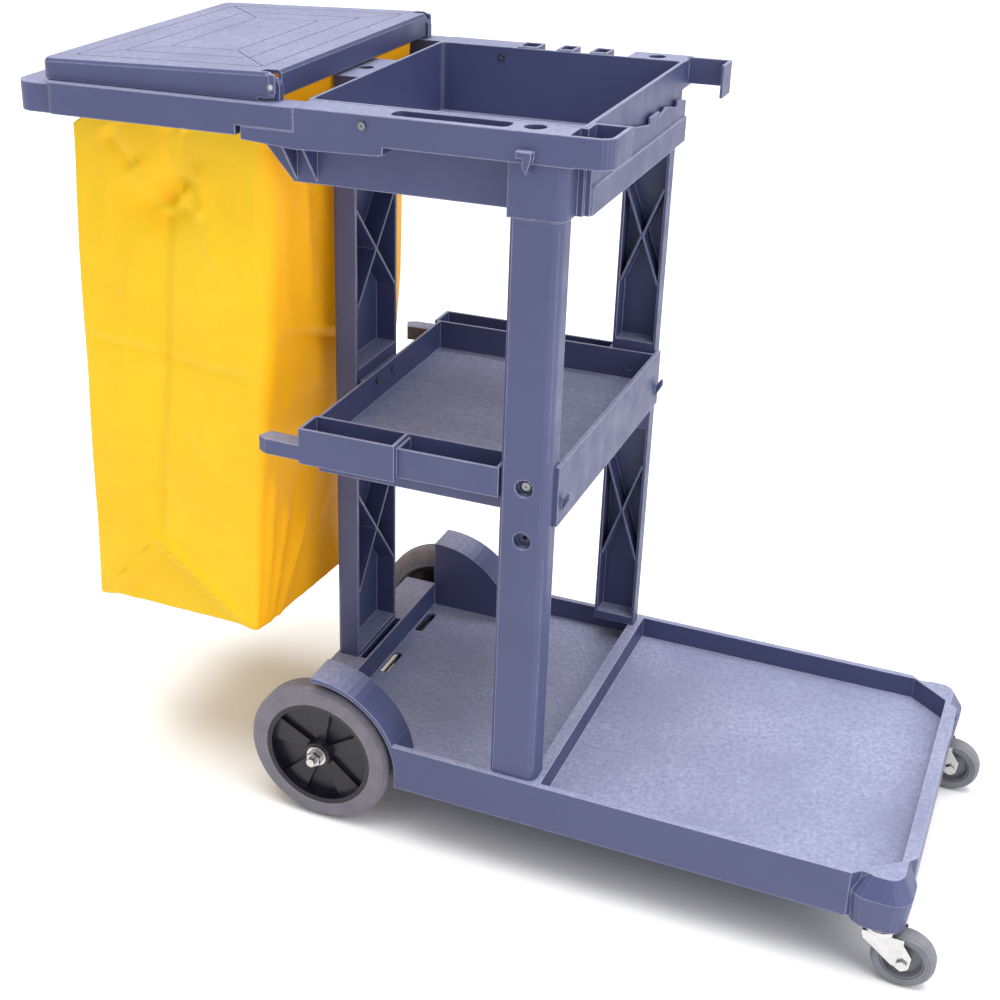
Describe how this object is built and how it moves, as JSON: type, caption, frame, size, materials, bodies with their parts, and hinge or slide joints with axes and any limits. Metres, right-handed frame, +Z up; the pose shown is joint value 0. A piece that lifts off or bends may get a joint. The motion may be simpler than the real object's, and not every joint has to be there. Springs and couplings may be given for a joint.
{
  "type": "housekeeping cart",
  "caption": "Moulded plastic housekeeping cart with a front load platform, two trays, a hanging bag under a hinged lid, fixed rear wheels and swivel front casters.",
  "frame": {"origin": "on the floor under the middle of the bounding box", "axes": "+X from the push handle to the load platform, +Y to the far side, +Z up"},
  "size_m": [1.208, 0.498, 1.0009],
  "materials": {
    "slate_plastic": "fine moulded grain, semi-matt",
    "yellow_vinyl": "coated woven fabric, satin",
    "zinc_steel": "bright zinc plate",
    "black_plastic": "smooth",
    "grey_rubber": "matt",
    "grey_plastic": "matt"
  },
  "bodies": {
    "chassis": {"base": "slate_plastic", "front_post_near": "slate_plastic", "front_post_far": "slate_plastic", "rear_post": "slate_plastic", "middle_shelf": "slate_plastic", "top_tray": "slate_plastic", "bag_frame": "slate_plastic", "bag": "yellow_vinyl", "hinge_pin_near": "zinc_steel", "hinge_pin_far": "zinc_steel", "rear_axle": "zinc_steel", "axle_spacer_near": "zinc_steel", "axle_spacer_far": "zinc_steel", "axle_washer_near": "zinc_steel", "axle_washer_far": "zinc_steel", "axle_nut_near": "zinc_steel", "axle_nut_far": "zinc_steel", "caster_stem_near": "zinc_steel", "caster_stem_far": "zinc_steel", "tray_screw_near": "zinc_steel", "tray_screw_far": "zinc_steel", "shelf_screw_near": "zinc_steel", "shelf_screw_far": "zinc_steel", "shelf_screw_rear_near": "zinc_steel", "shelf_screw_rear_far": "zinc_steel"},
    "lid": {"lid": "slate_plastic"},
    "wheel_near": {"rear_rim_near": "black_plastic", "rear_tyre_near": "grey_rubber"},
    "wheel_far": {"rear_rim_far": "black_plastic", "rear_tyre_far": "grey_rubber"},
    "caster_near": {"caster_fork_near": "zinc_steel", "caster_bolt_near": "zinc_steel", "caster_nut_near": "zinc_steel"},
    "caster_far": {"caster_fork_far": "zinc_steel", "caster_bolt_far": "zinc_steel", "caster_nut_far": "zinc_steel"},
    "caster_wheel_near": {"caster_hub_near": "grey_plastic", "caster_tyre_near": "grey_rubber"},
    "caster_wheel_far": {"caster_hub_far": "grey_plastic", "caster_tyre_far": "grey_rubber"}
  },
  "joints": [
    {"name": "lid_hinge", "type": "hinge", "parent": "chassis", "child": "lid", "pos_m": [-0.246, 0, 0.984], "axis": [0, 1, 0], "range_deg": [0, 100]},
    {"name": "wheel_spin_near", "type": "hinge", "parent": "chassis", "child": "wheel_near", "pos_m": [-0.2, -0.21, 0.1025], "axis": [0, 1, 0], "continuous": true},
    {"name": "caster_swivel_near", "type": "hinge", "parent": "chassis", "child": "caster_near", "pos_m": [0.5365, -0.212, 0.0774], "axis": [0, 0, 1], "continuous": true},
    {"name": "caster_spin_near", "type": "hinge", "parent": "caster_near", "child": "caster_wheel_near", "pos_m": [0.5665, -0.212, 0.0375], "axis": [0, 1, 0], "continuous": true},
    {"name": "wheel_spin_far", "type": "hinge", "parent": "chassis", "child": "wheel_far", "pos_m": [-0.2, 0.21, 0.1025], "axis": [0, 1, 0], "continuous": true},
    {"name": "caster_swivel_far", "type": "hinge", "parent": "chassis", "child": "caster_far", "pos_m": [0.5365, 0.212, 0.0774], "axis": [0, 0, 1], "continuous": true},
    {"name": "caster_spin_far", "type": "hinge", "parent": "caster_far", "child": "caster_wheel_far", "pos_m": [0.5665, 0.212, 0.0375], "axis": [0, 1, 0], "continuous": true}
  ]
}
